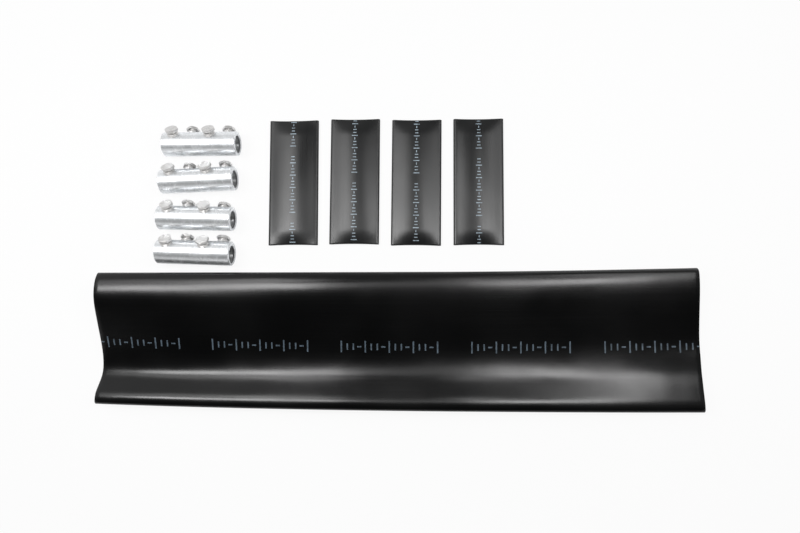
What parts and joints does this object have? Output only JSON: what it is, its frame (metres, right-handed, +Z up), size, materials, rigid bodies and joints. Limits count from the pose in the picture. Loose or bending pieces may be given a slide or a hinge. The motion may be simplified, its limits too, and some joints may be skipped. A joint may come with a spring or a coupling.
{
  "type": "cable joint kit",
  "caption": "Heat-shrink joint kit for a multi-core power cable: long outer tube, short core tubes and bolted conductor connectors, laid out flat.",
  "frame": {"origin": "middle of the kit's footprint, on the table that it lies on", "axes": "+X along the long outer tube, +Y across the table towards the connectors, +Z up from the table"},
  "size_m": [0.85, 0.4222, 0.0427],
  "materials": {
    "outer_tube_polyolefin": "satin black",
    "core_tube_polyolefin": "satin black",
    "tinned_aluminium": "bright tin plate, fine turning marks",
    "bolt_metal": "warm grey plated, semi-bright"
  },
  "bodies": {
    "root": {"outer_tube": "outer_tube_polyolefin", "core_tube_1": "core_tube_polyolefin", "core_tube_2": "core_tube_polyolefin", "core_tube_3": "core_tube_polyolefin", "core_tube_4": "core_tube_polyolefin", "connector_body_1": "tinned_aluminium", "connector_body_2": "tinned_aluminium", "connector_body_3": "tinned_aluminium", "connector_body_4": "tinned_aluminium", "shear_bolt_1_1": "bolt_metal", "shear_bolt_1_2": "bolt_metal", "shear_bolt_1_3": "bolt_metal", "shear_bolt_1_4": "bolt_metal", "shear_bolt_2_1": "bolt_metal", "shear_bolt_2_2": "bolt_metal", "shear_bolt_2_3": "bolt_metal", "shear_bolt_2_4": "bolt_metal", "shear_bolt_3_1": "bolt_metal", "shear_bolt_3_2": "bolt_metal", "shear_bolt_3_3": "bolt_metal", "shear_bolt_3_4": "bolt_metal", "shear_bolt_4_1": "bolt_metal", "shear_bolt_4_2": "bolt_metal", "shear_bolt_4_3": "bolt_metal", "shear_bolt_4_4": "bolt_metal"}
  },
  "joints": []
}
